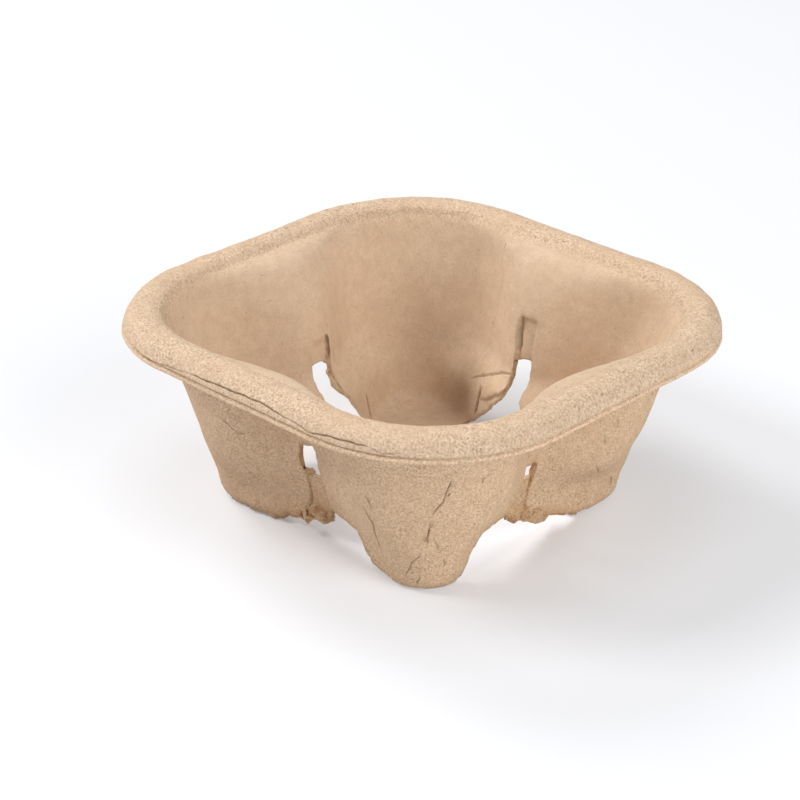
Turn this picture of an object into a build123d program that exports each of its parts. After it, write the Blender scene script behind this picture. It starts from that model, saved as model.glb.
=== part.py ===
# Carrier for one paper cup, moulded in one piece from recycled paper pulp.
# A four-lobed well hangs from a rolled rim and narrows into four hollow feet.
# A slot in the middle of each side lets the walls spread around the cup.
# Millimetres. Origin on the axis of the well at floor level, X along the longer side, Z up.

from build123d import *

import os
from math import cos, exp, radians, sin, sqrt, tan

# Overall size
rim_length = 110.0
rim_width = 108.0
carrier_height = 45.0
pulp = 1.5

# Rolled rim
rim_corner_radius = 33.5
roll_radius = 5.0

# Well above the seat, where the walls bulge in to grip the cup
wall_draft = 11.8
cup_grip = 62.5
bulge_drop = 1.8
skin_stop = 1.5
bulge_fullness = 1.7
bulge_shelf = 0.45
pinch_at_seat = 12.0
pinch_at_rim = 15.0

# Seat, where the wall turns in towards the foot pockets
seat_height = 13.5
seat_turn = 4.0

# Foot pockets below the seat
foot_inset = 1.8
foot_draft = 20.5
foot_corner_radius = 15.0
foot_corner_taper = 8.0
foot_waist = 53.0
foot_pinch = 18.5
foot_edge_radius = 1.8

# Slots, grooves and arches in the middle of each side
slot_width = 5.0
slot_top = 21.0
groove_top = 30.0
groove_depth = 1.2
arch_half_width_floor = 13.0
arch_half_width_top = 4.0
arch_height = 9.5
arch_corner_radius = 4.0

# Top of the bulge, under the roll of the rim
bulge_top = carrier_height - bulge_drop

# Where the drafted wall leaves the roll of the rim
roll_center_height = carrier_height - roll_radius
wall_top = roll_center_height + roll_radius * sin(radians(wall_draft))
wall_top_inset = roll_radius + roll_radius * cos(radians(wall_draft))
wall_thickness = pulp / cos(radians(wall_draft))

# How far the outer skin of the seat lies below the inner one
seat_skin_drop = pulp * sqrt(0.5)


def pinched_outline(height, half_x, half_y, radius, waist_x, waist_y, pinch):
    """Level face: a rounded rectangle whose sides are pinched in towards the cup."""
    shares = (0.0, 0.3, 0.65)
    corner_steps = 4
    center_x = half_x - radius
    center_y = half_y - radius
    quarter = [(half_x, share * center_y) for share in shares]
    for step in range(corner_steps + 1):
        turn = radians(90 * step / corner_steps)
        quarter.append((center_x + radius * cos(turn), center_y + radius * sin(turn)))
    quarter += [(share * center_x, half_y) for share in reversed(shares)]

    def pinched(x, y):
        in_x = (half_x - waist_x) * exp(-((y / pinch) ** 2))
        in_y = (half_y - waist_y) * exp(-((x / pinch) ** 2))
        return x * (1 - in_x / half_x), y * (1 - in_y / half_y)

    quarter = [pinched(x, y) for x, y in quarter]
    turned_back = quarter[::-1]
    loop = quarter[:-1]
    loop += [(-x, y) for x, y in turned_back][:-1]
    loop += [(-x, -y) for x, y in quarter][:-1]
    loop += [(x, -y) for x, y in turned_back][:-1]
    return Face(Wire(Spline(*[(x, y, height) for x, y in loop], periodic=True)))


def well_inset(height, skin):
    """How far the wall lies inside the rim; skin is 0 on the inside and 1 on the outside."""
    if height > wall_top:
        rise = height - roll_center_height
        on_roll = roll_radius + sqrt(roll_radius**2 - rise**2)
        return wall_top_inset - wall_thickness if skin else on_roll
    drop = wall_top - height
    return wall_top_inset + drop * tan(radians(wall_draft)) - skin * wall_thickness


def bulge_swell(height, skin):
    """Share of the full bulge at a height: 1 down at the grip and 0 at its top."""
    top = bulge_top - skin * skin_stop
    rise = (height - seat_height) / (top - seat_height)
    rise = min(max(rise, 0.0), 1.0)
    return (1 - rise**bulge_fullness) ** bulge_shelf


def grip_reach(height, skin, half_rim):
    """Distance from the axis to the bulge in the middle of a side."""
    half = half_rim - well_inset(height, skin)
    grip = cup_grip / 2 + skin * pulp
    return half - (half - grip) * bulge_swell(height, skin)


def carrier_level(height, skin):
    """Level face of the carrier: the well, the foot pockets, or the turn of the seat between."""
    rise = (height - seat_height) / (wall_top - seat_height)
    pinch = pinch_at_seat + (pinch_at_rim - pinch_at_seat) * max(rise, 0.0) ** 2
    radius = rim_corner_radius - wall_top_inset + skin * wall_thickness

    drop = max(seat_height - height, 0.0)
    foot_in = well_inset(seat_height, skin) + foot_inset + drop * tan(radians(foot_draft))
    foot_radius = foot_corner_radius - foot_corner_taper * drop / seat_height + skin * pulp
    foot_grip = foot_waist / 2 + skin * pulp

    turn_middle = seat_height - skin * seat_skin_drop
    share = (height - turn_middle) / (2 * seat_turn) + 0.5
    share = min(max(share, 0.0), 1.0)
    well = share * share * (3 - 2 * share)

    def between(foot_value, well_value):
        return foot_value + (well_value - foot_value) * well

    inset = between(foot_in, well_inset(height, skin))
    return pinched_outline(
        height,
        rim_length / 2 - inset,
        rim_width / 2 - inset,
        between(foot_radius, radius),
        between(foot_grip, grip_reach(height, skin, rim_length / 2)),
        between(foot_grip, grip_reach(height, skin, rim_width / 2)),
        between(foot_pinch, pinch),
    )


def stacked(bottom, skin):
    """Smooth body through the levels from the bottom up to the top of the bulge."""
    turn_middle = seat_height - skin * seat_skin_drop
    turn_bottom = turn_middle - seat_turn
    turn_top = turn_middle + seat_turn
    bulge_end = bulge_top - skin * skin_stop
    heights = [bottom, bottom + (turn_bottom - bottom) / 2, turn_bottom]
    heights += [turn_bottom + seat_turn * step / 2 for step in (1, 2, 3)]
    well_steps = 5
    for step in range(well_steps + 1):
        open_share = (1 - step / well_steps) ** 2
        heights.append(bulge_end - (bulge_end - turn_top) * open_share)
    return loft([carrier_level(height, skin) for height in heights])


def cavity():
    """Space inside the pulp, which runs out through the top of the outer skin."""
    return stacked(pulp, 0)


def side_cut(profile, length):
    """Prism of a profile on the XZ plane, run through the carrier along Y and again along X."""
    along_y = extrude(profile, length / 2, both=True)
    return along_y + Rot(0, 0, 90) * along_y


def arch_profile():
    """Opening between two feet: a trapezoid with rounded shoulders that stands on the floor."""
    below = -arch_height
    corners = [
        (-arch_half_width_floor, 0),
        (-arch_half_width_top, arch_height),
        (arch_half_width_top, arch_height),
        (arch_half_width_floor, 0),
        (arch_half_width_floor, below),
        (-arch_half_width_floor, below),
    ]
    face = make_face(Plane.XZ * Polyline(*corners, close=True))
    shoulders = face.vertices().group_by(Axis.Z)[-1]
    return fillet(shoulders, arch_corner_radius)


def slot_profile():
    """Slot from the floor up to its top."""
    return Plane.XZ * Pos(0, slot_top / 2) * Rectangle(slot_width, slot_top)


def groove_bar(half_rim, low, high, depth, width):
    """Upright bar through the bulge of the +X side that reaches the given depth behind it."""
    low_reach = grip_reach(low, 0, half_rim) + depth
    high_reach = grip_reach(high, 0, half_rim) + depth
    start = cup_grip / 4
    profile = Polyline((start, low), (low_reach, low), (high_reach, high), (start, high), close=True)
    return extrude(make_face(Plane.XZ * profile), width / 2, both=True)


def groove_bars(low, high, depth, width):
    """The same bar on all four sides."""
    bars = []
    for turn in (0, 90, 180, 270):
        half_rim = rim_length / 2 if turn in (0, 180) else rim_width / 2
        bars.append(Rot(0, 0, turn) * groove_bar(half_rim, low, high, depth, width))
    return bars


def rolled_rim():
    """Half tube that runs round the rim with its open side down."""
    lip_side = 180.0
    arc_size = -(180.0 - wall_draft)
    half_x = rim_length / 2 - roll_radius
    half_y = rim_width / 2 - roll_radius
    line = RectangleRounded(2 * half_x, 2 * half_y, rim_corner_radius - roll_radius).wire()
    line = Pos(0, 0, roll_center_height) * line
    section_plane = Plane(origin=(half_x, 0, roll_center_height), x_dir=(-1, 0, 0), z_dir=(0, 1, 0))
    outer = CenterArc((0, 0), roll_radius, lip_side, arc_size)
    inner = CenterArc((0, 0), roll_radius - pulp, lip_side, arc_size)
    lip_end = Line(outer @ 0, inner @ 0)
    wall_end = Line(outer @ 1, inner @ 1)
    section = make_face(section_plane * Curve([outer, wall_end, inner, lip_end]))
    return sweep(section, path=line)


def filled_carrier():
    """Outer skin of the well and feet as one full body, with the backs of the grooves."""
    backs = groove_bars(slot_top - pulp, groove_top + pulp, groove_depth + pulp, slot_width + 2 * pulp)
    body = stacked(0, 1) + backs
    return fillet(body.edges().group_by(Axis.Z)[0], foot_edge_radius)


def pulp_carrier():
    body = filled_carrier() - cavity()
    body = body - groove_bars(slot_top, groove_top, groove_depth, slot_width)
    body = body - side_cut(arch_profile(), rim_length) - side_cut(slot_profile(), rim_length)
    return body + rolled_rim()


carrier = pulp_carrier()
os.makedirs("parts", exist_ok=True)
export_step(carrier, "parts/pulp_carrier.step")
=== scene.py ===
"""Looks of a moulded paper pulp carrier for one cup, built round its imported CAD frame."""

from dataclasses import dataclass
from math import cos, exp, pi, radians, sin, tan

import bmesh
import bpy
import numpy as np
from mathutils import Matrix, Vector, noise
from mathutils.bvhtree import BVHTree
from mathutils.kdtree import KDTree


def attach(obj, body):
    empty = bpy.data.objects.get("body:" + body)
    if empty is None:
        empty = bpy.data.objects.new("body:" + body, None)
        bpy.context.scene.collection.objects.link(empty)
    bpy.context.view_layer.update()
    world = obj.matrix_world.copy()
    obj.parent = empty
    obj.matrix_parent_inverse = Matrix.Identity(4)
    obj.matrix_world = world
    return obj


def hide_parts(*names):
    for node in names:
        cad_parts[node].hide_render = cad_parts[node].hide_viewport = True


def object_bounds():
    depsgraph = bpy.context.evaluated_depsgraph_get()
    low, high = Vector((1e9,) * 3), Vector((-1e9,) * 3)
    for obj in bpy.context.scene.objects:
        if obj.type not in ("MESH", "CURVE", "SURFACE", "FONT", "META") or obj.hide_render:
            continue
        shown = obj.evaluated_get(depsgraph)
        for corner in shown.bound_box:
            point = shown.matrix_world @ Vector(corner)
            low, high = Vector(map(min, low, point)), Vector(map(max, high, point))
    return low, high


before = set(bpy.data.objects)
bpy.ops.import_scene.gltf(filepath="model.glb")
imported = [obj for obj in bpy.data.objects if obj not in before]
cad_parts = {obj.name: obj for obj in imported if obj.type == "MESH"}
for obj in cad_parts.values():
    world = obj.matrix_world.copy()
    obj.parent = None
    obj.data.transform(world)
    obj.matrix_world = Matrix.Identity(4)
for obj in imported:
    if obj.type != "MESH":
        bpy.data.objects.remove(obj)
cad_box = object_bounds()

MM = 0.001

# Without a seed the noise vectors start from the clock and the torn edges change from run to run
noise_seed = 7
noise.seed_set(noise_seed)

# Overall size of the carrier in millimetres, read from the CAD frame to a tenth
cad_size = [round((high - low) / MM, 1) for low, high in zip(*cad_box)]
rim_length, rim_width, carrier_height = cad_size
box_low = np.array([-rim_length / 2, -rim_width / 2, 0.0])
box_high = np.array([rim_length / 2, rim_width / 2, carrier_height])
pulp = 1.5

# Rolled rim
rim_corner_radius = 33.5
roll_radius = 5.0

# Well above the seat, where the walls bulge in to grip the cup
wall_draft = radians(11.8)
cup_grip = 62.5
bulge_drop = 1.8
bulge_top = carrier_height - bulge_drop
bulge_fullness = 1.7
bulge_shelf = 0.45
pinch_at_seat = 12.0
pinch_at_rim = 15.0

# Seat and foot pockets
seat_height = 13.5
seat_turn = 4.0
foot_inset = 1.8
foot_draft = radians(20.5)
foot_corner_radius = 15.0
foot_corner_taper = 8.0
foot_waist = 53.0
foot_pinch = 18.5

# Where the drafted wall leaves the roll of the rim
roll_center_height = carrier_height - roll_radius
wall_top = roll_center_height + roll_radius * sin(wall_draft)
wall_top_inset = roll_radius + roll_radius * cos(wall_draft)

# The photograph's camera: its place in millimetres, its turn in degrees, and pixels of the picture
camera_place = (305.0, -322.5, 245.2)
camera_turn = 0.45
camera_sensor = 36.0
picture_pixels = 800
focal_pixels = 2314.3
shift_across_pixels = -22.5
shift_up_pixels = -2.9

# Level directions in the photograph's view
across_direction = Vector((0.7266, 0.6871, 0.0))
towards_camera = Vector((0.6871, -0.7266, 0.0))

# Grid of the pulp sheet: columns go round the carrier and rows go from its bottom edge to the lip
straight_share = 0.225
slot_top_columns = 4
slot_edge_columns = 10
web_columns = 14
foot_columns = 40
wall_rows = 52
crest_rows = 15
lip_rows = 9
lip_start = radians(160.0)

# Finer steps that the foot's columns and the wall's rows are spaced from, and rounds of smoothing
foot_samples = 400
wall_samples = 80
plate_samples = 20
smoothing_rounds = 2

# Flange along the bottom of the lip: a fine groove above a thin band that gets a painted highlight
lip_groove_angle = radians(169.0)
lip_groove_spread = radians(2.6)
lip_groove_depth = 0.6
flange_highlight_fade = 1.5


@dataclass
class Side:
    """One side of the carrier, with what sets it apart from the other three."""

    slot_shift: float
    slot_width: float
    slot_top: float
    slot_foot: float
    tear: float
    grip_shift: float = 0.0
    waist_out: float = 0.0
    turn_out: float = 0.0


@dataclass
class Web:
    """The torn edge of the wall between a slot and the floor beside one foot.

    It runs from the slot's foot over a shoulder, given by its reach and height, to the floor.
    """

    shoulder_reach: float
    shoulder_height: float
    floor_reach: float
    raggedness: float = 0.35


# Sides in turn from +X, each with the web beside the foot further round and the one before it
sides = [
    Side(
        slot_shift=-2.5,
        slot_width=4.4,
        slot_top=19.3,
        slot_foot=7.0,
        tear=1.0,
        grip_shift=-2.0,
        waist_out=1.8,
        turn_out=2.5,
    ),
    Side(slot_shift=-0.5, slot_width=4.6, slot_top=20.3, slot_foot=12.0, tear=0.4),
    Side(slot_shift=-1.2, slot_width=5.8, slot_top=19.3, slot_foot=12.0, tear=0.25),
    Side(
        slot_shift=-0.75,
        slot_width=5.3,
        slot_top=22.8,
        slot_foot=7.5,
        tear=1.0,
        waist_out=1.8,
        turn_out=2.5,
    ),
]
webs_after = [
    Web(4.4, 4.0, 16.0, raggedness=0.5),
    Web(6.5, 7.0, 13.0),
    Web(5.5, 7.0, 14.5),
    Web(13.4, 7.0, 17.5),
]
webs_before = [
    Web(12.6, 8.0, 20.5),
    Web(6.5, 8.0, 14.5),
    Web(5.5, 9.5, 11.5),
    Web(3.6, 3.6, 11.5, raggedness=0.5),
]
web_end_height = 1.2

# Shape of every slot: how far its top drops to its corners, and how far it widens to its foot
slot_corner_drop = 0.6
slot_flare = 0.25

# Seeds of the torn edges, and the shares that soften each step with its neighbours
web_after_seed = 11
web_before_seed = 31
web_blur = [0.3, 0.6, 0.3]
membrane_blur = [0.3, 0.5, 0.3]


@dataclass
class Bend:
    """A place where the sheet is pushed aside: its middle, its size each way and the push."""

    place: tuple
    size: tuple
    push: tuple


# Where the torn lower edge is rolled outwards
curls = [
    Bend((-17.0, -31.5, 0.6), (12.0, 5.0, 1.7), (0.0, -2.1, 0.0)),
    Bend((-5.0, -30.0, 3.8), (2.6, 5.0, 2.0), (0.6, -1.6, -0.3)),
    Bend((31.5, 9.0, 0.8), (5.0, 8.0, 2.0), (1.9, 0.0, 0.0)),
    Bend((30.0, 2.0, 4.2), (5.0, 2.6, 2.2), (1.9, -0.5, -0.3)),
    Bend((26.0, -36.0, 0.6), (7.0, 6.0, 3.0), (-1.4, -1.3, 0.0)),
    Bend((38.5, -29.5, 0.6), (5.0, 6.0, 3.0), (1.1, 0.3, 0.0)),
]
curl_torn = 0.5

# Where this carrier sits a little inside its mirror image
leans = [
    Bend((35.0, -17.0, 7.0), (13.0, 8.0, 9.0), (-1.25, -1.0, 0.0)),
    Bend((42.0, 41.0, 17.0), (15.0, 15.0, 15.0), (-0.75, -0.7, 0.0)),
    Bend((34.0, 34.0, 7.0), (14.0, 14.0, 9.0), (-1.5, -1.4, 0.0)),
    Bend((-38.0, -37.0, 6.0), (12.0, 12.0, 7.0), (0.5, 0.5, 0.0)),
]


@dataclass
class Roughness:
    """Random unevenness: the spacing of its lumps, how far it moves a point, and its seed."""

    spacing: float
    reach: float
    seed: float


skin_lumps = [
    Roughness(14.0, 0.3, 0.0),
    Roughness(4.5, 0.14, 40.0),
    Roughness(1.9, 0.05, 60.0),
]
thickness_lumps = Roughness(9.0, 0.25, 80.0)
curl_lumps = Roughness(1.6, 0.9, 120.0)
edge_ragged = [
    Roughness(1.8, 0.55, 150.0),
    Roughness(0.8, 0.22, 170.0),
]
membrane_ragged = [
    Roughness(1.7, 0.7, 200.0),
    Roughness(0.7, 0.3, 230.0),
]

# The first rows from the bottom edge: how torn and how ragged they are, and how thin the edge is
torn_rows = [0.8, 0.5, 0.25, 0.1]
ragged_rows = [1.0, 0.85, 0.6, 0.35, 0.18, 0.06]
edge_thickness = 0.6

# Rows below the rim over which the smooth pressed inside turns into the rough rim
pressed_fade_rows = 5


@dataclass
class Membrane:
    """Pulp left across a slot below its hole, set back from the walls beside it and torn below."""

    side: int
    low: float
    high: float
    back: float


membranes = [
    Membrane(side=3, low=5.6, high=14.8, back=0.1),
    Membrane(side=0, low=6.0, high=15.0, back=0.0),
]

# Grid of a membrane, its overlap behind the walls, its thickness and how far its middle bows out
membrane_columns = 13
membrane_rows = 34
membrane_overlap = 1.1
membrane_thickness = 0.9
membrane_bow = 0.3

# Torn ends of a membrane: how ragged they are, the hem turned outwards along the lower one, and
# how far up and how much the pulp looks torn
lower_jag = 0.9
upper_jag = 0.35
hem_reach = 1.5
hem_height = 1.2
tear_height = 1.6
tear_least = 0.25
membrane_torn_least = 0.15
membrane_torn_more = 0.5
membrane_seed = 300


@dataclass
class Crumbs:
    """Torn lumps of pulp that hang along a ragged edge."""

    path: list
    count: int


crumb_lines = [
    Crumbs([(-6.5, -30.4, 3.5), (-2.5, -30.2, 4.7), (1.8, -29.8, 6.3)], count=12),
    Crumbs([(30.5, 5.0, 3.8), (30.2, 0.6, 4.9), (29.7, -4.4, 6.9)], count=13),
]

# Size of a torn lump, its proportions, how far it strays from its line, and its own roughness
crumb_sizes = (0.9, 1.9)
crumb_proportions = [(0.9, 1.5), (0.6, 1.0), (0.3, 0.6)]
crumb_stray = 0.5
crumb_coarse_scale = 1.4
crumb_coarse_depth = 0.5
crumb_fine_scale = 4
crumb_fine_depth = 0.25
crumb_torn = 0.45
crumb_seed = 400
crumb_seed_step = 20


@dataclass
class TornOrShadePatch:
    """A darker patch on the pulp, of torn look or of painted shade: its middle, its size each way and its
    strength there.
    """

    place: tuple
    size: tuple
    strength: float


# Torn brown patches inside the far foot
torn_patches = [
    TornOrShadePatch((-6.0, 28.0, 10.5), (4.0, 4.0, 2.0), strength=0.6),
    TornOrShadePatch((-28.0, 7.0, 6.0), (4.0, 4.0, 4.0), strength=0.4),
]

# Painted shade, darker pulp that stands in for shadow: in the far foot, above it, on the left leg and
# along that leg's bottom
painted_shades = [
    TornOrShadePatch((-16.0, 30.5, 7.0), (6.5, 6.0, 8.0), strength=0.6),
    TornOrShadePatch((-29.0, 38.0, 22.0), (8.0, 8.0, 12.0), strength=0.15),
    TornOrShadePatch((-24.0, -34.0, 13.0), (17.0, 8.0, 14.0), strength=0.22),
    TornOrShadePatch((-18.0, -33.0, 0.3), (17.0, 7.0, 1.7), strength=0.5),
]


@dataclass
class Groove:
    """A groove above the slot of a side: its top, the height it fades over and its width."""

    side: int
    top: float
    fade: float
    width: float


grooves = [
    Groove(side=1, top=30.8, fade=2.0, width=4.6),
    Groove(side=2, top=26.0, fade=3.5, width=6.2),
]
groove_depth = 1.4
groove_edge = 0.3

# Only points that lie further out than this on the groove's side are sunk
side_reach = 20.0


@dataclass
class CrackOrShadowLine:
    """A dry split or crease, or a shadowed edge, pressed into the sheet and darkened with painted shade,
    drawn by its distance across the photograph's view and its height.
    """

    points: list
    width: float = 0.19
    depth: float = 0.25
    tone: float = 0.95
    inside: bool = False


# Each line is pressed into the sheet; its darkening is painted shade in the slit of a real crack or
# crease, or painted shadow along an edge
cracks_and_shadow_lines = [
    # Creases along the left half of the rolled rim, darkened with painted shade
    CrackOrShadowLine([(-59.2, 41.6), (-56.5, 40.9), (-50.8, 41.6), (-46.0, 42.2)], depth=0.14, tone=0.45),
    CrackOrShadowLine(
        [(-47.0, 42.1), (-44.2, 42.3), (-38.8, 42.5), (-31.5, 42.7), (-25.3, 42.1)],
        width=0.2,
        depth=0.3,
    ),
    CrackOrShadowLine([(-25.9, 42.2), (-21.3, 41.6)], depth=0.2, tone=0.5),
    CrackOrShadowLine([(-21.6, 41.6), (-17.4, 42.4), (-13.6, 42.4), (-10.1, 42.3)], width=0.2, depth=0.3),
    CrackOrShadowLine([(-10.3, 42.3), (-7.5, 41.4), (-3.5, 41.9)], depth=0.12, tone=0.4),
    # Down the near foot
    CrackOrShadowLine([(5.8, 30.3), (4.2, 24.4), (2.6, 22.3), (2.1, 21.0)]),
    CrackOrShadowLine([(1.8, 19.6), (1.5, 17.7), (1.2, 13.3)]),
    CrackOrShadowLine([(5.0, 26.0), (5.6, 26.5)], width=0.24, depth=0.3, tone=1.0),
    CrackOrShadowLine([(-11.6, 20.9), (-9.8, 16.6), (-9.4, 14.4), (-8.0, 6.6)], tone=0.7),
    CrackOrShadowLine([(-10.9, 23.8), (-9.8, 20.8)], tone=0.5),
    CrackOrShadowLine([(-0.1, 10.8), (-1.8, 8.3), (-3.2, 4.2)], tone=0.5),
    CrackOrShadowLine([(-0.2, 4.4), (-1.0, 2.3)], tone=0.5),
    CrackOrShadowLine([(2.5, 15.0), (3.3, 11.7)], tone=0.5),
    CrackOrShadowLine([(4.5, 9.0), (4.6, 6.8)], tone=0.5),
    CrackOrShadowLine([(12.1, 29.6), (11.7, 27.9)], tone=0.7),
    # Faint creases on the left and right legs
    CrackOrShadowLine([(-42.0, 26.5), (-38.0, 23.3), (-35.7, 24.0)], tone=0.35),
    CrackOrShadowLine([(-37.5, 14.0), (-34.7, 9.4)], tone=0.3),
    CrackOrShadowLine([(40.4, 27.1), (40.5, 24.7)], tone=0.35),
    CrackOrShadowLine([(37.8, 23.6), (37.9, 20.9)], tone=0.35),
    CrackOrShadowLine([(36.4, 16.2), (37.3, 11.7)], tone=0.3),
    CrackOrShadowLine([(40.4, 8.5), (40.7, 4.8)], tone=0.35),
    # Nicks in the right half of the rim
    CrackOrShadowLine([(54.5, 43.5), (55.0, 43.7)], tone=0.9),
    CrackOrShadowLine([(39.6, 44.9), (40.1, 44.8)], tone=0.7),
    CrackOrShadowLine([(34.8, 43.7), (35.2, 43.8)], tone=0.7),
    # Not cracks but painted shadow lines: the dark edges and crease inside the far foot's pocket, and the
    # shadowed sides of the grooves above it
    CrackOrShadowLine([(11.1, 11.1), (15.3, 13.8), (19.9, 16.5)], width=0.4, depth=0.5, tone=0.35, inside=True),
    CrackOrShadowLine([(13.2, 11.3), (12.6, 8.0), (12.0, 4.2)], width=0.6, depth=0.4, tone=0.75, inside=True),
    CrackOrShadowLine([(-12.9, 8.0), (-12.2, 4.4), (-11.7, 1.8)], width=0.5, depth=0.3, tone=0.5, inside=True),
    CrackOrShadowLine([(-21.9, 25.5), (-21.4, 22.0), (-21.2, 19.4)], width=0.6, depth=0.3, tone=0.55, inside=True),
    CrackOrShadowLine([(22.5, 30.2), (22.2, 25.5), (21.8, 21.6)], width=0.5, depth=0.3, tone=0.5, inside=True),
    CrackOrShadowLine(
        [(13.1, 8.6), (15.3, 10.6), (17.5, 12.4), (19.0, 13.4)],
        width=0.7,
        depth=0.3,
        tone=0.5,
        inside=True,
    ),
]

# Line of a crack: the step along it, where its ray starts, how it wanders aside and how it tapers
crack_step = 0.06
crack_ray_reach = 150.0
crack_meander = 0.16
slow_wander = 0.45
quick_wander = 1.5
quick_share = 0.4
width_wander = 0.8
width_least = 0.85
width_more = 0.35
taper_rate = 5
taper_least = 0.1

# Section of a crack: how far round it the mesh is divided, its floor darkened with painted shade and its
# raised lips
crack_reach = 0.7
crack_cuts = 4
crack_least_width = 0.09
dark_reach = 0.85
dark_least = 0.3
lip_rise = 0.04
lip_distance = 2.2


def add_object(name, data):
    thing = bpy.data.objects.new(name, data)
    bpy.context.scene.collection.objects.link(thing)
    return thing


def smooth_step(value):
    share = np.clip(value, 0, 1)
    return share * share * (3 - 2 * share)


def well_inset(height):
    """How far the inside of the wall lies inside the rim at a height."""
    rise = np.clip(height - roll_center_height, 0, roll_radius)
    on_roll = roll_radius + np.sqrt(roll_radius**2 - rise**2)
    on_wall = wall_top_inset + (wall_top - height) * tan(wall_draft)
    return np.where(height > wall_top, on_roll, on_wall)


def section_sizes(height, number):
    """Half size, corner radius, waist and pinch of the section at a height, towards one side."""
    half_rim = (rim_length / 2, rim_width / 2)[number % 2]
    side = sides[number % 4]
    well = well_inset(height)
    rise = np.clip((height - seat_height) / (bulge_top - seat_height), 0, 1)
    swell = (1 - rise**bulge_fullness) ** bulge_shelf
    grip = half_rim - well - (half_rim - well - cup_grip / 2) * swell

    drop = np.clip(seat_height - height, 0, None)
    foot_in = well_inset(np.full_like(height, seat_height)) + foot_inset + drop * tan(foot_draft)
    foot_radius = foot_corner_radius - foot_corner_taper * drop / seat_height

    to_well = smooth_step((height - seat_height) / (2 * (seat_turn + side.turn_out)) + 0.5)
    climb = np.clip((height - seat_height) / (wall_top - seat_height), 0, None)
    pinch = pinch_at_seat + (pinch_at_rim - pinch_at_seat) * climb**2

    def between(foot_value, well_value):
        return foot_value + (well_value - foot_value) * to_well

    half = half_rim - between(foot_in, well)
    radius = between(foot_radius, rim_corner_radius - wall_top_inset)
    waist = between(foot_waist / 2 + side.waist_out, grip)
    return half, radius, waist, between(foot_pinch, pinch)


def rounded_corner(along, half_a, half_b, radius):
    """Point of a quarter of a rounded rectangle, from the middle of one side to the next."""
    turn = np.clip((along - straight_share) / (1 - 2 * straight_share), 0, 1) * pi / 2
    first = np.minimum(along, straight_share) / straight_share
    last = np.minimum(1 - along, straight_share) / straight_share
    round_a = half_a - radius + radius * np.cos(turn)
    round_b = half_b - radius + radius * np.sin(turn)
    a = np.where(along > 1 - straight_share, last * (half_a - radius), round_a)
    b = np.where(along < straight_share, first * (half_b - radius), round_b)
    return a, b


def quarter_point(quarter, along, height):
    """Point on the inside of the wall, in the quarter's own frame."""
    half_a, radius, waist_a, pinch = section_sizes(height, quarter)
    half_b, radius, waist_b, pinch = section_sizes(height, quarter + 1)
    a, b = rounded_corner(along, half_a, half_b, radius)
    shift_a = sides[quarter].grip_shift
    shift_b = sides[(quarter + 1) % 4].grip_shift
    in_a = (half_a - waist_a) * np.exp(-(((b - shift_a) / pinch) ** 2))
    in_b = (half_b - waist_b) * np.exp(-(((a + shift_b) / pinch) ** 2))
    return a * (1 - in_a / half_a), b * (1 - in_b / half_b)


def roll_points(quarter, along, angles):
    """Points on the top of the rolled rim at angles round the roll, in the quarter's own frame."""
    rims = (rim_length / 2, rim_width / 2)
    inset = roll_radius + roll_radius * np.cos(angles)
    half_a = rims[quarter % 2] - inset
    half_b = rims[(quarter + 1) % 2] - inset
    a, b = rounded_corner(np.full(len(angles), along), half_a, half_b, rim_corner_radius - inset)
    return np.stack([a, b, roll_center_height + roll_radius * np.sin(angles)], axis=1)


def turned(quarter, a, b):
    """The quarter's own frame turned into the carrier's."""
    turn = quarter * pi / 2
    return a * round(cos(turn)) - b * round(sin(turn)), a * round(sin(turn)) + b * round(cos(turn))


def ragged_line(rng, count, blur):
    """Soft random ups and downs along an edge."""
    return np.convolve(rng.uniform(-1, 1, count + 2), blur, "valid")


def torn_edge(side, web, sign, seed):
    """Reach and height of the opening's edge, from the middle of the slot down to the floor."""
    half = side.slot_width / 2
    corner_height = side.slot_top - slot_corner_drop
    top_reach = np.arange(slot_top_columns) / slot_top_columns * half
    top_height = side.slot_top - slot_corner_drop * (top_reach / half) ** 2
    down = np.arange(slot_edge_columns) / slot_edge_columns
    edge_reach = half + slot_flare * down
    edge_height = corner_height + (side.slot_foot - side.slot_top + slot_corner_drop) * down

    out = np.arange(web_columns + 1) / web_columns
    knots = [0.0, 0.5, 1.0]
    web_reach = np.interp(out, knots, [half + slot_flare, web.shoulder_reach, web.floor_reach])
    web_height = np.interp(out, knots, [side.slot_foot, web.shoulder_height, web_end_height])
    jag = ragged_line(np.random.RandomState(seed), len(out), web_blur)
    web_height = web_height + web.raggedness * np.sin(out * pi) * jag

    reach = np.concatenate([top_reach, edge_reach, web_reach])
    height = np.concatenate([top_height, edge_height, web_height])
    return side.slot_shift + sign * reach, height


def run_along(path):
    """Distance along a path to each of its points."""
    steps = np.linalg.norm(np.diff(path, axis=0), axis=1)
    return np.concatenate([[0], np.cumsum(steps)])


def spaced(path, count):
    """The path's points moved to even spacing along it."""
    length = run_along(path)
    wanted = np.linspace(0, length[-1], count)
    return np.stack([np.interp(wanted, length, path[:, axis]) for axis in range(3)], axis=1)


def along_share(reach, height, section, from_start):
    """Place along a quarter of a point beside its first slot or, from its end, beside its last."""
    half, radius, _, _ = section_sizes(np.array([height]), section)
    share = straight_share * reach / (half[0] - radius[0])
    return share if from_start else 1 + share


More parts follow.
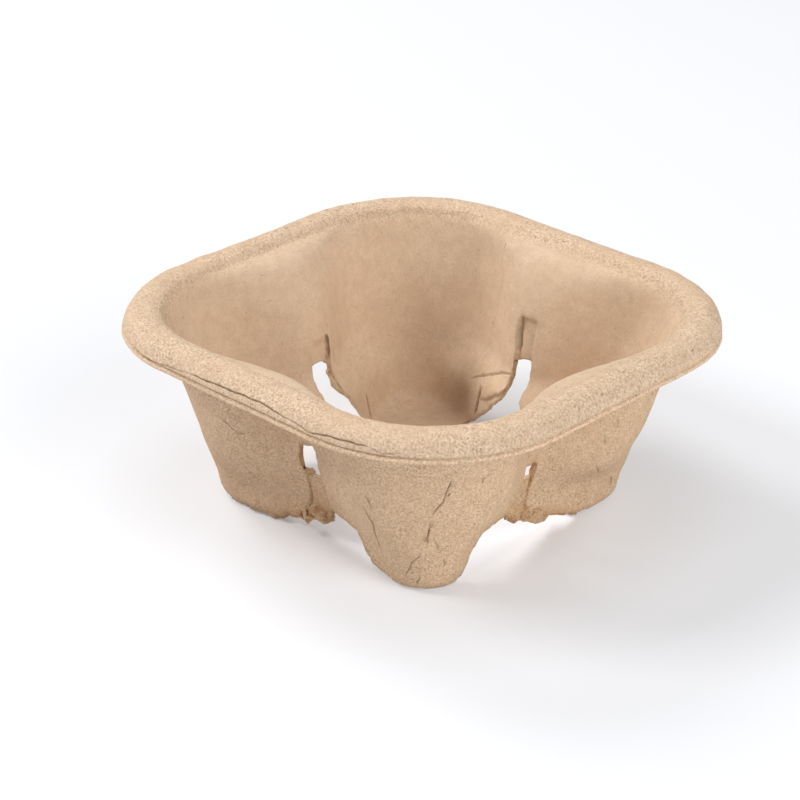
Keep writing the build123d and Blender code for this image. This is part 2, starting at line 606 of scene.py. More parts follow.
def foot_starts(quarter, after_reach, before_reach):
    """Starts of the columns of a foot, along its wall and on the edge of its bottom plate."""
    first = along_share(after_reach, pulp, quarter + 1, True)
    last = along_share(before_reach, pulp, quarter, False)
    fine = np.linspace(first, last, foot_samples)
    a, b = quarter_point(quarter, fine, np.full(foot_samples, pulp))
    length = run_along(np.stack([a, b], axis=1))
    shares = np.linspace(0, 1, foot_columns + 1)[1:-1]
    along_foot = np.interp(shares * length[-1], length, fine)
    plate = np.array([(a[0], b[0]), (-before_reach, after_reach), (a[-1], b[-1])])
    starts = []
    for share, along in zip(shares, along_foot):
        inner = [np.interp(share, [0, 0.5, 1], plate[:, axis]) for axis in (0, 1)]
        starts.append((along, pulp, np.array([inner[0], inner[1], pulp])))
    return starts


def column_starts(quarter):
    """Place along the quarter, height and plate point where each of its columns starts, in order."""
    after, before = webs_after[quarter], webs_before[(quarter + 1) % 4]
    reaches, heights = torn_edge(sides[quarter], after, 1, web_after_seed + quarter)
    starts = []
    for reach, height in zip(reaches, heights):
        starts.append((along_share(reach, height, quarter + 1, True), height, None))
    last_reaches, last_heights = torn_edge(sides[(quarter + 1) % 4], before, -1, web_before_seed + quarter)
    starts += foot_starts(quarter, reaches[-1], last_reaches[-1])
    for reach, height in list(zip(last_reaches, last_heights))[:0:-1]:
        starts.append((along_share(reach, height, quarter, False), height, None))
    return starts


def wall_column(quarter, along_low, along_top, low, plate_point):
    """One column of the sheet, from the bottom edge up to the roll."""
    heights = np.linspace(low, bulge_top, wall_samples)
    climb = (heights - low) / (bulge_top - low)
    along = along_low + (along_top - along_low) * climb
    a, b = quarter_point(quarter, along, heights)
    path = np.stack([a, b, heights], axis=1)
    if plate_point is not None:
        steps = np.linspace(0, 1, plate_samples)[:-1, None]
        path = np.concatenate([plate_point + (path[0] - plate_point) * steps, path])
    path = spaced(path, wall_rows)
    for _ in range(smoothing_rounds):
        path[1:-1] = (path[:-2] + 2 * path[1:-1] + path[2:]) / 4
    return path


def sheet_columns(roll_angles):
    """All columns of the top of the sheet, in order round the carrier."""
    columns = []
    for quarter in range(4):
        starts = column_starts(quarter)
        for index, (along_low, low, plate_point) in enumerate(starts):
            along_top = index / len(starts)
            path = wall_column(quarter, along_low, along_top, low, plate_point)
            column = np.concatenate([path, roll_points(quarter, along_top, roll_angles)])
            x, y = turned(quarter, column[:, 0], column[:, 1])
            columns.append(np.stack([x, y, column[:, 2]], axis=1))
    return np.array(columns)


def grid_normals(points):
    """Normals of the sheet's grid, towards the side that faces the cup."""
    tiny = 1e-12
    round_way = np.roll(points, -1, axis=0) - np.roll(points, 1, axis=0)
    up_way = np.gradient(points, axis=1)
    normals = np.cross(up_way, round_way)
    return normals / (np.linalg.norm(normals, axis=2, keepdims=True) + tiny)


def lumps(points, rough):
    """Soft unevenness of the pulp, as a distance for each point."""
    flat = points.reshape(-1, 3) / rough.spacing
    values = [noise.noise(Vector((x + rough.seed, y, z))) for x, y, z in flat]
    return rough.reach * np.array(values).reshape(points.shape[:2])


def straying(points, rough, extra_seed=0.0):
    """Ragged shift in any direction for each point."""
    flat = points.reshape(-1, 3) / rough.spacing
    start = rough.seed + extra_seed
    values = [noise.noise_vector(Vector((x + start, y, z))) for x, y, z in flat]
    return rough.reach * np.array(values).reshape(points.shape)


def nearness(points, spot):
    """Share for each point, from 1 in the middle of a bend or patch down to 0 well outside it."""
    away = (points - np.array(spot.place)) / np.array(spot.size)
    return np.exp(-(away**2).sum(axis=2))


def groove_push(top):
    """Shift that sinks the grooves of the far sides into the wall, away from the cup."""
    push = np.zeros_like(top)
    for groove in grooves:
        out = np.array([*turned(groove.side, 1.0, 0.0), 0.0])
        along = np.array([*turned(groove.side, 0.0, 1.0), 0.0])
        reach = np.abs(top @ along - sides[groove.side].slot_shift)
        inside = smooth_step((groove.width / 2 + groove_edge / 2 - reach) / groove_edge)
        below_top = smooth_step((groove.top - top[..., 2]) / groove.fade)
        on_side = (top @ out > side_reach) & (top[..., 2] > seat_height)
        push += (groove_depth * inside * below_top * on_side)[..., None] * out
    return push


def grid_faces(columns, rows, under, closed):
    """Faces of a sheet with two sides, whose grids start at 0 and at the given number."""
    faces = []
    steps = columns if closed else columns - 1
    for column in range(steps):
        following = (column + 1) % columns
        for row in range(rows - 1):
            a = column * rows + row
            b = following * rows + row
            faces.append((a, a + 1, b + 1, b))
            faces.append((under + a, under + b, under + b + 1, under + a + 1))
        a, b = column * rows, following * rows
        faces.append((a, b, under + b, under + a))
        a, b = a + rows - 1, b + rows - 1
        faces.append((b, a, under + a, under + b))
    if not closed:
        last = (columns - 1) * rows
        for row in range(rows - 1):
            faces.append((row + 1, row, under + row, under + row + 1))
            a = last + row
            faces.append((a, a + 1, under + a + 1, under + a))
    return faces


def wall_reach(number, reach, height):
    """Distance of the wall's inner face from the axis, near the middle of a side."""
    half, _, waist, pinch = section_sizes(height, number)
    return half - (half - waist) * np.exp(-(((reach - sides[number].grip_shift) / pinch) ** 2))


def membrane_sheet(membrane, seed):
    """Both sides of the pulp left across a slot, as two grids of points, and how torn they look."""
    side = sides[membrane.side]
    across = np.linspace(-1, 1, membrane_columns)[:, None]
    reach = across * (side.slot_width / 2 + membrane_overlap) + side.slot_shift
    rng = np.random.RandomState(seed)
    low = membrane.low + lower_jag * ragged_line(rng, membrane_columns, membrane_blur)[:, None]
    high = membrane.high + upper_jag * ragged_line(rng, membrane_columns, membrane_blur)[:, None]
    share = np.linspace(0, 1, membrane_rows)[None, :]
    height = low + (high - low) * share
    reach = np.repeat(reach, membrane_rows, axis=1)
    bow = membrane_bow * (1 - share) * share * 4
    away = wall_reach(membrane.side, reach, height) + membrane.back + bow
    away = away + hem_reach * np.exp(-(((height - low) / hem_height) ** 2))
    grids = []
    for out in (away, away + membrane_thickness):
        x, y = turned(membrane.side, out, reach)
        grids.append(np.stack([x, y, height], axis=2))
    edge = np.exp(-(((height - low) / tear_height) ** 2)) + tear_least
    shift = sum(straying(grids[0], rough, seed) * edge[..., None] for rough in membrane_ragged)
    torn = membrane_torn_least + membrane_torn_more * np.minimum(edge, 1.0)
    return grids[0] + shift, grids[1] + shift, torn


def round_lump():
    """Points and faces of a ball, from which each torn lump is shaped."""
    form = bmesh.new()
    bmesh.ops.create_icosphere(form, subdivisions=3, radius=1.0)
    points = np.array([vertex.co for vertex in form.verts])
    faces = [tuple(vertex.index for vertex in face.verts) for face in form.faces]
    form.free()
    return points, faces


def lump_roughness(point, seed, index):
    """How far one point of a lump lies from its middle, as a share of its size."""
    coarse = noise.noise(Vector(point * crumb_coarse_scale + seed + index))
    fine = noise.noise(Vector(point * crumb_fine_scale + index))
    return 1 + crumb_coarse_depth * coarse + crumb_fine_depth * fine


def crumb_lumps(line, seed):
    """Points and faces of each torn lump along one edge."""
    ball, faces = round_lump()
    rng = np.random.RandomState(seed)
    path = np.array(line.path)
    length = run_along(path)
    shapes = []
    for index in range(line.count):
        at = length[-1] * (index + rng.uniform(0, 1)) / line.count
        place = np.array([np.interp(at, length, path[:, axis]) for axis in range(3)])
        place = place + rng.uniform(-crumb_stray, crumb_stray, 3)
        size = rng.uniform(*crumb_sizes)
        spread = size * np.array([rng.uniform(least, most) for least, most in crumb_proportions])
        turn = Vector(rng.uniform(-1, 1, 3)).to_track_quat("Z", "Y").to_matrix()
        rough = np.array([lump_roughness(point, seed, index) for point in ball])
        shapes.append((ball * rough[:, None] * spread) @ np.array(turn).T + place)
    return [(shape, faces) for shape in shapes]


class PulpParts:
    """Points, faces and torn look of all that becomes the carrier's one mesh, in millimetres."""

    def __init__(self):
        self.points = []
        self.faces = []
        self.torn = []

    def add(self, points, faces, torn):
        offset = sum(len(group) for group in self.points)
        self.points.append(points)
        self.faces += [tuple(offset + corner for corner in face) for face in faces]
        self.torn.append(torn)

    def add_sheet(self, top, under, torn, closed):
        columns, rows, _ = top.shape
        faces = grid_faces(columns, rows, columns * rows, closed)
        points = np.concatenate([top.reshape(-1, 3), under.reshape(-1, 3)])
        self.add(points, faces, np.concatenate([torn.ravel(), torn.ravel()]))


def inside_box(points):
    """Points in metres, held inside the CAD model's box."""
    return np.clip(points, box_low * MM, box_high * MM)


def add_attribute(mesh, name, values):
    mesh.attributes.new(name, "FLOAT", "POINT").data.foreach_set("value", values)


def bottom_edge_torn(top):
    """How torn the rows along the bottom edge look, by the side that each column is nearest to."""
    torn = np.zeros(top.shape[:2])
    tears = [sides[(eighth + 1) // 2 % 4].tear for eighth in range(8)]
    torn[:, : len(torn_rows)] = np.repeat(tears, len(top) // 8)[:, None] * torn_rows
    return torn


def pulp_mesh():
    """The whole carrier as one mesh, both sides of the sheet joined along its edges."""
    roll_start = np.arcsin((bulge_top - roll_center_height) / roll_radius)
    crest_angles = np.linspace(roll_start, lip_start, crest_rows + 1)[1:]
    roll_angles = np.concatenate([crest_angles, np.linspace(lip_start, pi, lip_rows + 1)[1:]])
    from_groove = (roll_angles - lip_groove_angle) / lip_groove_spread
    lip_groove = lip_groove_depth * np.exp(-(from_groove**2))

    top = sheet_columns(roll_angles)
    for lean in leans:
        top = top + nearness(top, lean)[..., None] * lean.push
    top = top + groove_push(top)
    normals = grid_normals(top)
    uneven = sum(lumps(top, rough) for rough in skin_lumps)
    thickness = pulp + lumps(top, thickness_lumps)
    uneven[:, wall_rows:] -= lip_groove
    thickness[:, wall_rows:] -= lip_groove
    thickness[:, 0] *= edge_thickness
    top = top + normals * uneven[..., None]

    ragged = sum(straying(top, rough) for rough in edge_ragged)
    top[:, : len(ragged_rows)] += ragged[:, : len(ragged_rows)] * np.array(ragged_rows)[:, None]
    torn = bottom_edge_torn(top)
    for curl in curls:
        near = nearness(top, curl)
        top = top + (near * (1 + lumps(top, curl_lumps)))[..., None] * curl.push
        torn = np.maximum(torn, curl_torn * near)
    for patch in torn_patches:
        torn = np.maximum(torn, patch.strength * nearness(top, patch))
    # Painted shade in the far foot and on the left leg
    painted_shade_share = np.zeros(top.shape[:2])
    for painted_shade in painted_shades:
        painted_shade_share = np.maximum(painted_shade_share, painted_shade.strength * nearness(top, painted_shade))

    parts = PulpParts()
    parts.add_sheet(top, top - normals * thickness[..., None], torn, True)
    for number, membrane in enumerate(membranes):
        parts.add_sheet(*membrane_sheet(membrane, membrane_seed + number), False)
    for number, line in enumerate(crumb_lines):
        for points, faces in crumb_lumps(line, crumb_seed + crumb_seed_step * number):
            parts.add(points, faces, np.full(len(points), crumb_torn))

    points = inside_box(np.concatenate(parts.points) * MM)
    mesh = bpy.data.meshes.new("moulded_pulp")
    mesh.from_pydata(points.tolist(), [], parts.faces)
    add_attribute(mesh, "torn", np.concatenate(parts.torn))
    nothing = np.zeros(top.shape[:2])
    pressed = nothing.copy()
    pressed[:, :wall_rows] = smooth_step((wall_rows - np.arange(wall_rows)) / pressed_fade_rows)
    # Painted highlight on the band of the flange, below the lip groove
    flange_highlight = nothing.copy()
    flange_highlight[:, wall_rows:] = smooth_step(from_groove / flange_highlight_fade)
    both_sides = {"pressed": (pressed, nothing), "flange_highlight": (flange_highlight, nothing), "painted_shade": (painted_shade_share, painted_shade_share)}
    for name, (inside, outside) in both_sides.items():
        rest = np.zeros(len(points) - 2 * nothing.size)
        add_attribute(mesh, name, np.concatenate([inside.ravel(), outside.ravel(), rest]))
    # Painted shade along cracks, creases and shadowed edges, filled in by open_cracks
    mesh.attributes.new("crack_shade", "FLOAT", "POINT")
    mesh.update()
    open_cracks(mesh)
    mesh.polygons.foreach_set("use_smooth", [True] * len(mesh.polygons))
    return mesh


def crack_line(crack_shade, surface, seed):
    """Points along the line of a split or a shadow, on the side that faces the camera, each with its share
    of the full width.
    """
    start_reach = 0.0 if crack_shade.inside else crack_ray_reach
    corners = [Vector(point) for point in crack_shade.points]
    total = sum((b - a).length for a, b in zip(corners, corners[1:]))
    line = []
    run = 0.0
    for a, b in zip(corners, corners[1:]):
        step = (b - a).normalized()
        aside = Vector((-step.y, step.x))
        count = max(int((b - a).length / crack_step), 1)
        for index in range(count):
            wander = noise.noise(Vector((run * slow_wander, seed * 3.7, 0.0)))
            wander += quick_share * noise.noise(Vector((run * quick_wander, seed, 5.0)))
            at = a.lerp(b, index / count) + aside * wander * crack_meander
            start = (across_direction * at.x + Vector((0, 0, at.y)) + towards_camera * start_reach) * MM
            hit, _, _, _ = surface.ray_cast(start, -towards_camera)
            share = run / total
            taper = min(1.0, taper_rate * min(share, 1 - share) + taper_least) ** 0.5
            if hit is not None:
                swell = noise.noise(Vector((run * width_wander, seed, 9.0)))
                line.append((hit, taper * (width_least + width_more * swell)))
            run += (b - a).length / count
    return line


def open_cracks(mesh):
    """Divides the faces finely along each split or shadow line, presses it into them and stores its
    painted shade.
    """
    form = bmesh.new()
    form.from_mesh(mesh)
    surface = BVHTree.FromBMesh(form)
    points = []
    for seed, crack_shade in enumerate(cracks_and_shadow_lines):
        for place, share in crack_line(crack_shade, surface, seed):
            points.append((place, share, crack_shade))
    tree = KDTree(len(points))
    for index, (place, _, _) in enumerate(points):
        tree.insert(place, index)
    tree.balance()

    fine_reach = crack_reach * MM
    edges = set()
    for face in form.faces:
        if tree.find(face.calc_center_median())[2] < fine_reach:
            edges.update(face.edges)
    bmesh.ops.subdivide_edges(form, edges=list(edges), cuts=crack_cuts, use_grid_fill=True)
    form.normal_update()
    value = form.verts.layers.float["crack_shade"]
    moves = []
    for vertex in form.verts:
        _, index, distance = tree.find(vertex.co)
        if distance > fine_reach:
            continue
        _, share, crack_shade = points[index]
        away = distance / MM / max(crack_shade.width * share, crack_least_width)
        # Painted shade, darkest along the middle of the line
        vertex[value] = crack_shade.tone * exp(-((away / dark_reach) ** 2)) * min(1.0, dark_least + share)
        raised = lip_rise * share * exp(-((away - lip_distance) ** 2))
        press = crack_shade.depth * share * exp(-(away**2)) - raised
        moves.append((vertex, vertex.normal * press * MM))
    for vertex, move in moves:
        vertex.co -= move
    bmesh.ops.triangulate(form, faces=[face for face in form.faces if len(face.verts) > 4])
    form.to_mesh(mesh)
    form.free()


def linear(value):
    """One sRGB channel from 0 to 1 as linear light."""
    return value / 12.92 if value <= 0.04045 else ((value + 0.055) / 1.055) ** 2.4


def colour(code):
    """Linear colour of an sRGB hex value."""
    return tuple(linear(int(code[place : place + 2], 16) / 255) for place in (1, 3, 5)) + (1.0,)


# Colours of the pulp where the light is plain, of its torn inside, of its flecks, and of the painted shade
# in its cracks, creases, shadowed edges and darker patches
pulp_shade = colour("#cdb093")
pulp_pale = colour("#dcc3a8")
torn_brown = colour("#a97c4e")
# Painted shade in cracks, creases and along shadowed edges
crack_shade_colour = colour("#5a4029")
fleck_brown = colour("#7d6045")
# Painted shade of the darker patches in the far foot and on the left leg
painted_shade_brown = colour("#6e4828")

# Filter of the outer skin, which is a little warmer than the pressed inner one
outer_tint = (1.0, 0.965, 0.9, 1.0)
no_tint = (1.0, 1.0, 1.0, 1.0)

# How much the grain changes red, green and blue, so that it stays brown
grain_tint = (1.0, 0.86, 0.7)

# Sizes in millimetres of the pulp's patterns: clouds where the wet pulp lay thicker, tufts of
# fibres, dark flecks, and a grain drawn a little coarser than the real one so that it shows
cloud_size = 14.3
tuft_size = 2.38
fleck_size = 0.667
grain_size = 0.476
grain_height = 0.3

# Heights in millimetres between which the outer skin's colour turns into the rim's
rim_colour_start = 38.0
rim_colour_end = 42.0

# Sockets of a Mix node that mixes colours
mix_share = 0
first_colour = 6
second_colour = 7
mixed_colour = 2


def pattern_scale(size):
    """Noise scale, to the nearest ten, whose features are so many millimetres across."""
    return round(1 / (size * MM), -1)


def add_node(tree, kind, inputs=None, **settings):
    """Adds a node with its settings, and sets or links each input given by its name or number."""
    node = tree.nodes.new(kind)
    for name, value in settings.items():
        setattr(node, name, value)
    for key, value in (inputs or {}).items():
        if isinstance(value, bpy.types.NodeSocket):
            tree.links.new(value, node.inputs[key])
        else:
            node.inputs[key].default_value = value
    return node


def new_material(name):
    material = bpy.data.materials.new(name)
    material.use_nodes = True
    material.node_tree.nodes.clear()
    return material


def recycled_pulp_material():
    """Moulded recycled paper pulp: short kraft and newsprint fibres, drained on a mesh and dried.

    It gives the eye a matt, cloudy brown, grainy outside and on the rim and calmer on the pressed
    inside, that turns darker and warmer where it is torn or cracked. Painted shade darkens it in
    splits, creases, along shadowed edges and in patches in the far foot and on the left leg, and a
    painted highlight brightens the thin strip along the bottom of the lip.
    """
    material = new_material("moulded_recycled_paper_pulp")
    tree = material.node_tree
    place = add_node(tree, "ShaderNodeTexCoord").outputs["Object"]
    height = add_node(tree, "ShaderNodeSeparateXYZ", {0: place}).outputs["Z"]
    patterns = []
    sizes = (cloud_size, tuft_size, grain_size, fleck_size)
    for size, detail, roughness in zip(sizes, (3.0, 4.0, 2.0, 1.0), (0.5, 0.5, 0.6, 0.5)):
        values = {"Vector": place, "Scale": pattern_scale(size), "Detail": detail, "Roughness": roughness}
        patterns.append(add_node(tree, "ShaderNodeTexNoise", values).outputs["Fac"])
    clouds, tufts, grain, flecks = patterns
    painted = []
    for name in ("pressed", "flange_highlight", "torn", "painted_shade", "crack_shade"):
        painted.append(add_node(tree, "ShaderNodeAttribute", attribute_name=name).outputs["Fac"])
    pressed, flange_highlight, torn, painted_shade, crack_shade = painted

    # Each value's range, and the strengths, tones and shares that it becomes
    ranges = []
    for value, low, high, to_low, to_high in (
        (clouds, 0.35, 0.65, 0.6, 1.2),
        (pressed, 0.0, 1.0, 1.0, 0.28),
        (height, rim_colour_start * MM, rim_colour_end * MM, 0.0, 0.9),
        (grain, 0.3, 0.7, -0.16, 0.145),
        (tufts, 0.3, 0.7, -0.035, 0.035),
        # Painted highlight: the flange's band made up to a tenth brighter
        (flange_highlight, 0.0, 1.0, 1.0, 1.1),
        (flecks, 0.64, 0.74, 0.0, 0.4),
        (tufts, 0.3, 0.7, 0.4, 1.0),
    ):
        limits = {"Value": value, "From Min": low, "From Max": high, "To Min": to_low, "To Max": to_high}
        ranges.append(add_node(tree, "ShaderNodeMapRange", limits).outputs[0])
    crisp, flat, rim, fine, tone, flange_highlight_gain, dots, patches = ranges

    # Strength of the grain, share of the cool colour, torn look and relief
    joined = []
    for operation, first, second in (
        ("MULTIPLY", crisp, flat),
        ("MAXIMUM", pressed, rim),
        ("MULTIPLY", torn, patches),
        ("ADD", grain, tufts),
    ):
        values = {0: first, 1: second}
        joined.append(add_node(tree, "ShaderNodeMath", values, operation=operation).outputs[0])
    calm, cool, worn, relief = joined

    # Pulp colour, warmer on the outer skin than on the pressed inside and the rim
    shades = {mix_share: clouds, first_colour: pulp_shade, second_colour: pulp_pale}
    base = add_node(tree, "ShaderNodeMix", shades, data_type="RGBA").outputs[mixed_colour]
    tints = {mix_share: cool, first_colour: outer_tint, second_colour: no_tint}
    tint = add_node(tree, "ShaderNodeMix", tints, data_type="RGBA").outputs[mixed_colour]
    tinted = add_node(tree, "ShaderNodeVectorMath", {0: base, 1: tint}, operation="MULTIPLY").outputs[0]

    # Grain and tufts over it, and the painted highlight on the band of the flange
    eased = add_node(tree, "ShaderNodeMath", {0: fine, 1: calm}, operation="MULTIPLY").outputs[0]
    both = add_node(tree, "ShaderNodeMath", {0: tone, 1: eased}, operation="ADD").outputs[0]
    change = {0: grain_tint, "Scale": both}
    change = add_node(tree, "ShaderNodeVectorMath", change, operation="SCALE").outputs[0]
    grained = add_node(tree, "ShaderNodeVectorMath", {0: tinted, 1: change}, operation="ADD").outputs[0]
    lit = {0: grained, "Scale": flange_highlight_gain}
    shown = add_node(tree, "ShaderNodeVectorMath", lit, operation="SCALE").outputs[0]

    # Flecks, torn places, patches of painted shade, and cracks and shadow lines darkened with painted
    # shade, each over the last
    dotted = add_node(tree, "ShaderNodeMath", {0: dots, 1: calm}, operation="MULTIPLY").outputs[0]
    layers = [(dotted, fleck_brown), (worn, torn_brown), (painted_shade, painted_shade_brown), (crack_shade, crack_shade_colour)]
    for share, over in layers:
        layer = {mix_share: share, first_colour: shown, second_colour: over}
        shown = add_node(tree, "ShaderNodeMix", layer, data_type="RGBA").outputs[mixed_colour]

    rough = add_node(tree, "ShaderNodeMath", {0: calm, 1: 0.8}, operation="MULTIPLY").outputs[0]
    bump = {"Height": relief, "Strength": rough, "Distance": grain_height * MM}
    normal = add_node(tree, "ShaderNodeBump", bump).outputs[0]
    finish = {"Base Color": shown, "Normal": normal, "Roughness": 0.95, "Specular IOR Level": 0.2}
    surface = add_node(tree, "ShaderNodeBsdfPrincipled", finish).outputs[0]
    add_node(tree, "ShaderNodeOutputMaterial", {"Surface": surface})
    return material


# Colours of the loose fibres in turn: dark and light kraft, cream, paler cream, brown, printed blue
fibre_colours = [
    (0.0, "#84603c"),
    (0.3, "#b28c64"),
    (0.5, "#dcbd9a"),
    (0.75, "#e9cfb0"),
    (0.97, "#a5835f"),
    (1.0, "#7c828c"),
]


def fibre_material():
    """Loose paper fibres, dried on the surface: matt hairs from kraft brown to cream, a few bluish."""
    material = new_material("loose_paper_fibres")
    tree = material.node_tree
    tone = add_node(tree, "ShaderNodeAttribute", attribute_name="tone").outputs["Fac"]
    ramp = add_node(tree, "ShaderNodeValToRGB", {"Fac": tone})
    stops = ramp.color_ramp.elements
    stops.remove(stops[1])
    stops[0].color = colour(fibre_colours[0][1])
    for place, code in fibre_colours[1:]:
        stops.new(place).color = colour(code)
    finish = {"Base Color": ramp.outputs[0], "Roughness": 0.9}
    surface = add_node(tree, "ShaderNodeBsdfPrincipled", finish).outputs[0]
    add_node(tree, "ShaderNodeOutputMaterial", {"Surface": surface})
    return material


# One loose fibre in millimetres, a millimetre long and drawn thicker than a real one so that it shows
fibre_radius = 0.055
fibre_bend = 0.2
fibre_flatness = 0.6
fibre_tip = 0.4
fibre_segments = 2
fibre_corners = 3

# How many fibres lie on a square millimetre, and their sizes as shares of that one
fibres_per_square = 0.072
fibre_sizes = (0.4, 1.3)


def single_fibre():
    """One short bent fibre a millimetre long, lying along X."""
    points = []
    for step in range(fibre_segments + 1):
        share = step / fibre_segments
        radius = fibre_radius * (fibre_tip + (1 - fibre_tip) * sin(pi * share))
        for corner in range(fibre_corners):
            turn = 2 * pi * corner / fibre_corners
            across = fibre_bend * (1 - (2 * share - 1) ** 2) + radius * cos(turn)
            points.append(((share - 0.5) * MM, across * MM, fibre_flatness * radius * sin(turn) * MM))
    faces = []
    for step in range(fibre_segments):
        for corner in range(fibre_corners):
            a = step * fibre_corners + corner
            b = step * fibre_corners + (corner + 1) % fibre_corners
            faces.append((a, b, b + fibre_corners, a + fibre_corners))
    last = fibre_segments * fibre_corners
    faces += [(2, 1, 0), (last, last + 1, last + 2)]
    mesh = bpy.data.meshes.new("single_fibre")
    mesh.from_pydata(points, [], faces)
    return bpy.data.objects.new("single_fibre", mesh)


def fibre_tree(fibre):
    """Geometry Nodes that lay copies of a fibre over a mesh, with the density as its named input."""
    tree = bpy.data.node_groups.new("scatter_fibres", "GeometryNodeTree")
    tree.interface.new_socket("Geometry", in_out="INPUT", socket_type="NodeSocketGeometry")
    tree.interface.new_socket("Density", in_out="INPUT", socket_type="NodeSocketFloat")
    tree.interface.new_socket("Geometry", in_out="OUTPUT", socket_type="NodeSocketGeometry")
    given = add_node(tree, "NodeGroupInput")
    scatter = {"Mesh": given.outputs["Geometry"], "Density": given.outputs["Density"], "Seed": 7}
    spread = add_node(tree, "GeometryNodeDistributePointsOnFaces", scatter)
    randoms = []
    for least, most, seed in ((0.0, 1.0, 3), (0.0, 2 * pi, 5), (*fibre_sizes, 9)):
        between = {2: least, 3: most, "Seed": seed}
        randoms.append(add_node(tree, "FunctionNodeRandomValue", between, data_type="FLOAT").outputs[1])
    tone, spin, size = randoms
    tones = {"Geometry": spread.outputs["Points"], "Value": tone, "Name": "tone"}
    toned = add_node(tree, "GeometryNodeStoreNamedAttribute", tones, data_type="FLOAT", domain="POINT")
    about = add_node(tree, "FunctionNodeAxisAngleToRotation", {"Angle": spin, "Axis": (0, 0, 1)})
    turns = {"Rotation": spread.outputs["Rotation"], "Rotate By": about.outputs[0]}
    spun = add_node(tree, "FunctionNodeRotateRotation", turns, rotation_space="LOCAL")
    source = add_node(tree, "GeometryNodeObjectInfo", {"Object": fibre})
    copies = {
        "Points": toned.outputs[0],
        "Instance": source.outputs["Geometry"],
        "Rotation": spun.outputs[0],
        "Scale": size,
    }
    placed = add_node(tree, "GeometryNodeInstanceOnPoints", copies)
    real = add_node(tree, "GeometryNodeRealizeInstances", {"Geometry": placed.outputs[0]})
    coat = {"Geometry": real.outputs[0], "Material": fibre_material()}
    coated = add_node(tree, "GeometryNodeSetMaterial", coat)
    add_node(tree, "NodeGroupOutput", {0: coated.outputs[0]})
    return tree


def scatter_fibres(carrier):
    """Fibres spread over the pulp with Geometry Nodes, made into a plain mesh of their own."""
    fibre = single_fibre()
    tree = fibre_tree(fibre)
    emitter = add_object("fibre_emitter", carrier.data)
    modifier = emitter.modifiers.new("scatter", "NODES")
    modifier.node_group = tree
    density = tree.interface.items_tree["Density"].identifier
    modifier[density] = fibres_per_square / MM**2
    bpy.context.view_layer.update()
    graph = bpy.context.evaluated_depsgraph_get()
    mesh = bpy.data.meshes.new_from_object(emitter.evaluated_get(graph))
    bpy.data.objects.remove(emitter)
    bpy.data.objects.remove(fibre)
    places = np.empty(3 * len(mesh.vertices))
    mesh.vertices.foreach_get("co", places)
    mesh.vertices.foreach_set("co", inside_box(places.reshape(-1, 3)).ravel())
    return add_object("pulp_fibres", mesh)


# Painted light on the floor: how far a glow seen only by the camera lifts it and its cast shadows towards
# white, between two distances in millimetres from the axis; it is weaker near the carrier, which keeps
# painted shade under it
lift_start = 27.0
lift_end = 42.0
least_lift = 0.04
most_lift = 0.35


def floor_material():
    """White paper sweep: matt, with a painted glow seen only by the camera that lifts it near white out of
    the shadow, lightens its cast shadows too and is weaker under the carrier.
    """
    material = new_material("white_paper_sweep")
    tree = material.node_tree
    paper = add_node(tree, "ShaderNodeBsdfDiffuse", {"Color": colour("#eef0f5")}).outputs[0]
    # Painted light: a glow that only the camera sees
    camera_glow = add_node(tree, "ShaderNodeEmission", {"Color": colour("#fbfbfc"), "Strength": 1.0}).outputs[0]
    place = add_node(tree, "ShaderNodeTexCoord").outputs["Object"]
    reach = add_node(tree, "ShaderNodeVectorMath", {0: place}, operation="LENGTH").outputs["Value"]
    outwards = {
        "Value": reach,
        "From Min": lift_start * MM,
        "From Max": lift_end * MM,
        "To Min": least_lift,
        "To Max": most_lift,
    }
    # Less glow near the axis, so the floor under the carrier stays darker as painted shade
    glow_share_by_reach = add_node(tree, "ShaderNodeMapRange", outwards).outputs[0]
    seen = add_node(tree, "ShaderNodeLightPath").outputs["Is Camera Ray"]
    share = add_node(tree, "ShaderNodeMath", {0: seen, 1: glow_share_by_reach}, operation="MULTIPLY").outputs[0]
    mixed = add_node(tree, "ShaderNodeMixShader", {0: share, 1: paper, 2: camera_glow}).outputs[0]
    add_node(tree, "ShaderNodeOutputMaterial", {"Surface": mixed})
    return material


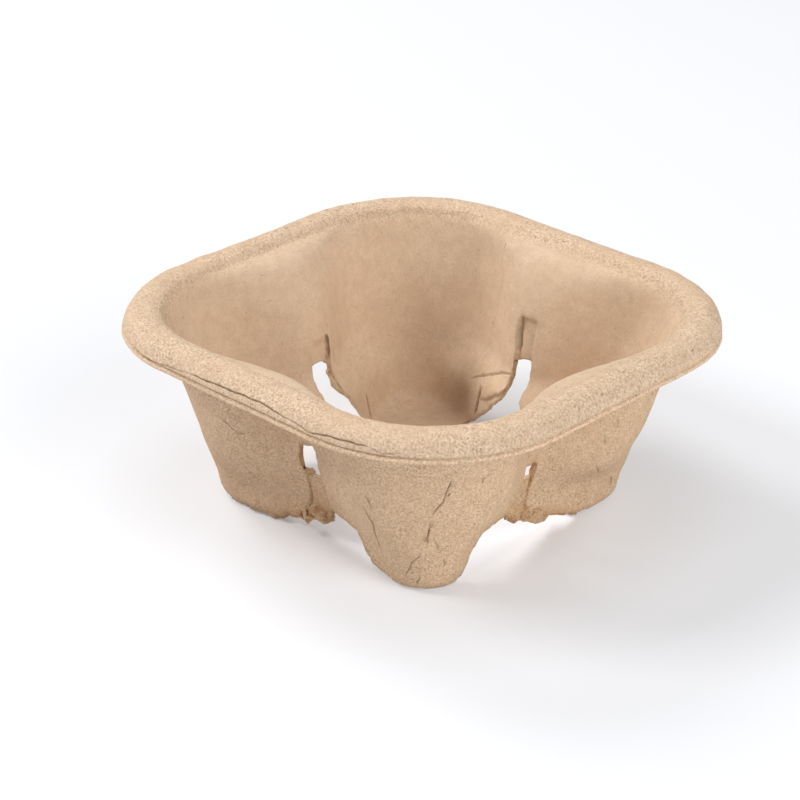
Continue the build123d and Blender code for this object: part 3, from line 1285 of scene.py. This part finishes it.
def add_floor():
    half = 3.0
    mesh = bpy.data.meshes.new("paper_sweep")
    corners = [(-half, -half, 0), (half, -half, 0), (half, half, 0), (-half, half, 0)]
    mesh.from_pydata(corners, [], [(0, 1, 2, 3)])
    mesh.materials.append(floor_material())
    add_object("paper_sweep", mesh)


def add_camera():
    data = bpy.data.cameras.new("camera")
    data.sensor_width = camera_sensor
    data.lens = focal_pixels / picture_pixels * camera_sensor
    data.shift_x = shift_across_pixels / picture_pixels
    data.shift_y = shift_up_pixels / picture_pixels
    camera = add_object("camera", data)
    camera.location = Vector(camera_place) * MM
    aim = Vector((0, 0, carrier_height / 2)) - Vector(camera_place)
    turn = aim.to_track_quat("-Z", "Y")
    camera.rotation_euler = (turn.to_matrix() @ Matrix.Rotation(radians(camera_turn), 3, "Z")).to_euler()
    bpy.context.scene.camera = camera


def add_lamp(name, place, size, power):
    """A soft round lamp, its place and size in metres, that shines at the origin."""
    data = bpy.data.lights.new(name, "AREA")
    data.shape = "DISK"
    data.size = size
    data.energy = power
    lamp = add_object(name, data)
    lamp.location = place
    lamp.rotation_euler = (-place).to_track_quat("-Z", "Y").to_euler()


def add_light():
    world = bpy.data.worlds.new("studio")
    world.use_nodes = True
    sky = world.node_tree.nodes["Background"].inputs
    sky["Color"].default_value = colour("#ffffff")
    sky["Strength"].default_value = 0.25
    bpy.context.scene.world = world
    up = Vector((0, 0, 1))
    back_left = -across_direction * 0.75 - towards_camera * 0.75 + up
    right_front = across_direction * 0.8 + towards_camera * 0.8 + up * 0.6
    add_lamp("left", up * 0.95 - across_direction, size=0.5, power=9.0)
    add_lamp("back_left", back_left, size=0.5, power=7.6)
    add_lamp("overhead", up * 1.3, size=0.8, power=2.9)
    add_lamp("right_front", right_front, size=1.0, power=9.8)
    bpy.context.scene.view_settings.view_transform = "Standard"


carrier = add_object("pulp_body", pulp_mesh())
carrier.data.materials.append(recycled_pulp_material())
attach(carrier, "root")
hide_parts("pulp_carrier")

fibres = scatter_fibres(carrier)
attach(fibres, "root")

add_floor()
add_camera()
add_light()
